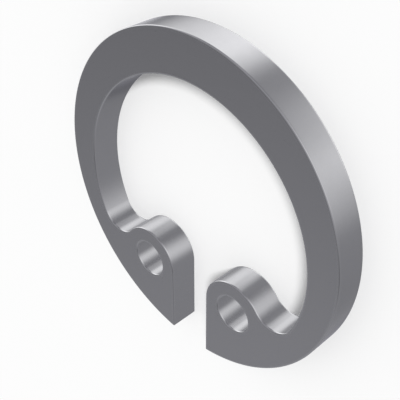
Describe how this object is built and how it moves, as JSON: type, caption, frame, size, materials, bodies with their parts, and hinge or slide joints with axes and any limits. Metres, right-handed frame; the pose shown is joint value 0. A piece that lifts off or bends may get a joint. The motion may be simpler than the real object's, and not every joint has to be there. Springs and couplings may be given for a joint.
{
  "type": "internal retaining ring",
  "caption": "Flat internal retaining ring with a tapered spring beam and rounded lugs with plier holes, which snaps into a groove in a bore and holds a part there.",
  "frame": {"origin": "on the axis of the ring's round outside, at its underside", "axes": "+Z along the ring's axis, up through its thickness; -Y through the gap between the lugs; the ring lies flat"},
  "size_m": [0.0086, 0.0086, 0.0008],
  "materials": {
    "spring_steel": "plain spring steel, rolled faces and cut edges, tumbled to a satin grey"
  },
  "bodies": {
    "root": {"retaining_ring": "spring_steel"}
  },
  "joints": []
}
